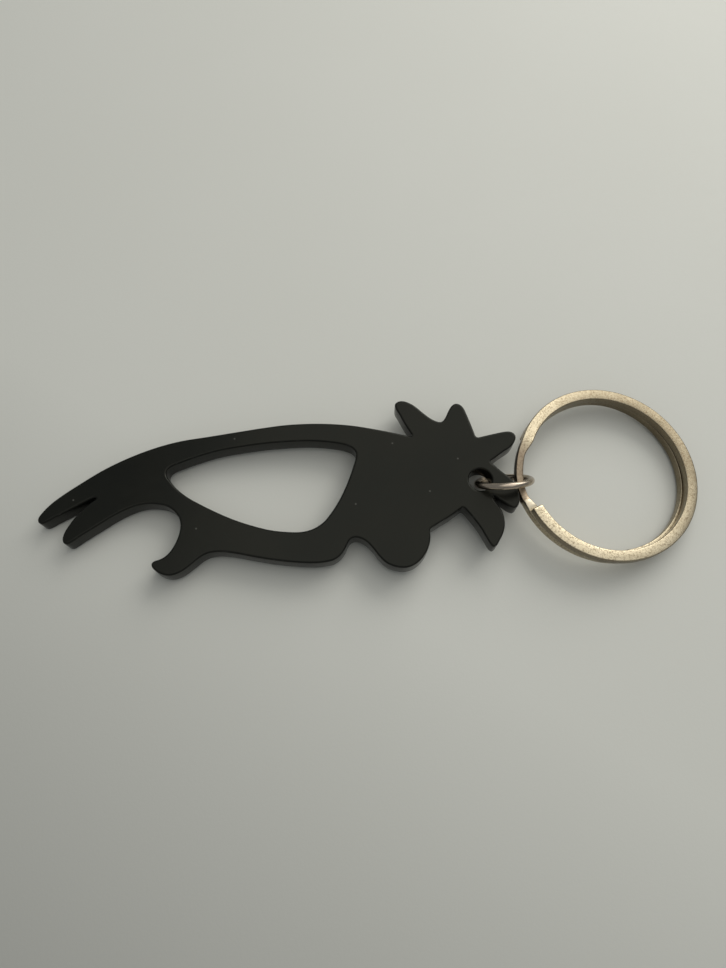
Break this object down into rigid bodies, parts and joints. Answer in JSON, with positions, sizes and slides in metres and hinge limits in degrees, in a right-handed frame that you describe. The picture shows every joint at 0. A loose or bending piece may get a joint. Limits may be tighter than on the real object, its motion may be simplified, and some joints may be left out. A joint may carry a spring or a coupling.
{
  "type": "keychain bottle opener",
  "caption": "Flat black metal bottle opener with a claw and a large opening, on a jump ring and a split key ring.",
  "frame": {"origin": "on the plate's underside, in the solid area between the large opening and the jump ring's hole", "axes": "+X along the plate from the forked tail to the key ring, +Z square to the plate's top face"},
  "size_m": [0.106, 0.0303, 0.0091],
  "materials": {
    "black_anodised": "satin black anodised",
    "jump_ring_steel": "bright plated wire",
    "nickel_plate": "warm nickel plate, slightly worn"
  },
  "bodies": {
    "plate_body": {"opener_plate": "black_anodised"},
    "jump_ring_body": {"jump_ring": "jump_ring_steel"},
    "key_ring_body": {"key_ring": "nickel_plate"}
  },
  "joints": [
    {"name": "jump_ring_turn", "type": "hinge", "parent": "plate_body", "child": "jump_ring_body", "pos_m": [0.01675, -0.0004, 0.00205], "axis": [0, -0.8704, -0.4924], "range_deg": [-3, 16]},
    {"name": "key_ring_swing", "type": "hinge", "parent": "jump_ring_body", "child": "key_ring_body", "pos_m": [0.01935, 0.00011, 0.00156], "axis": [0, -1, 0], "range_deg": [-20, 36]}
  ]
}
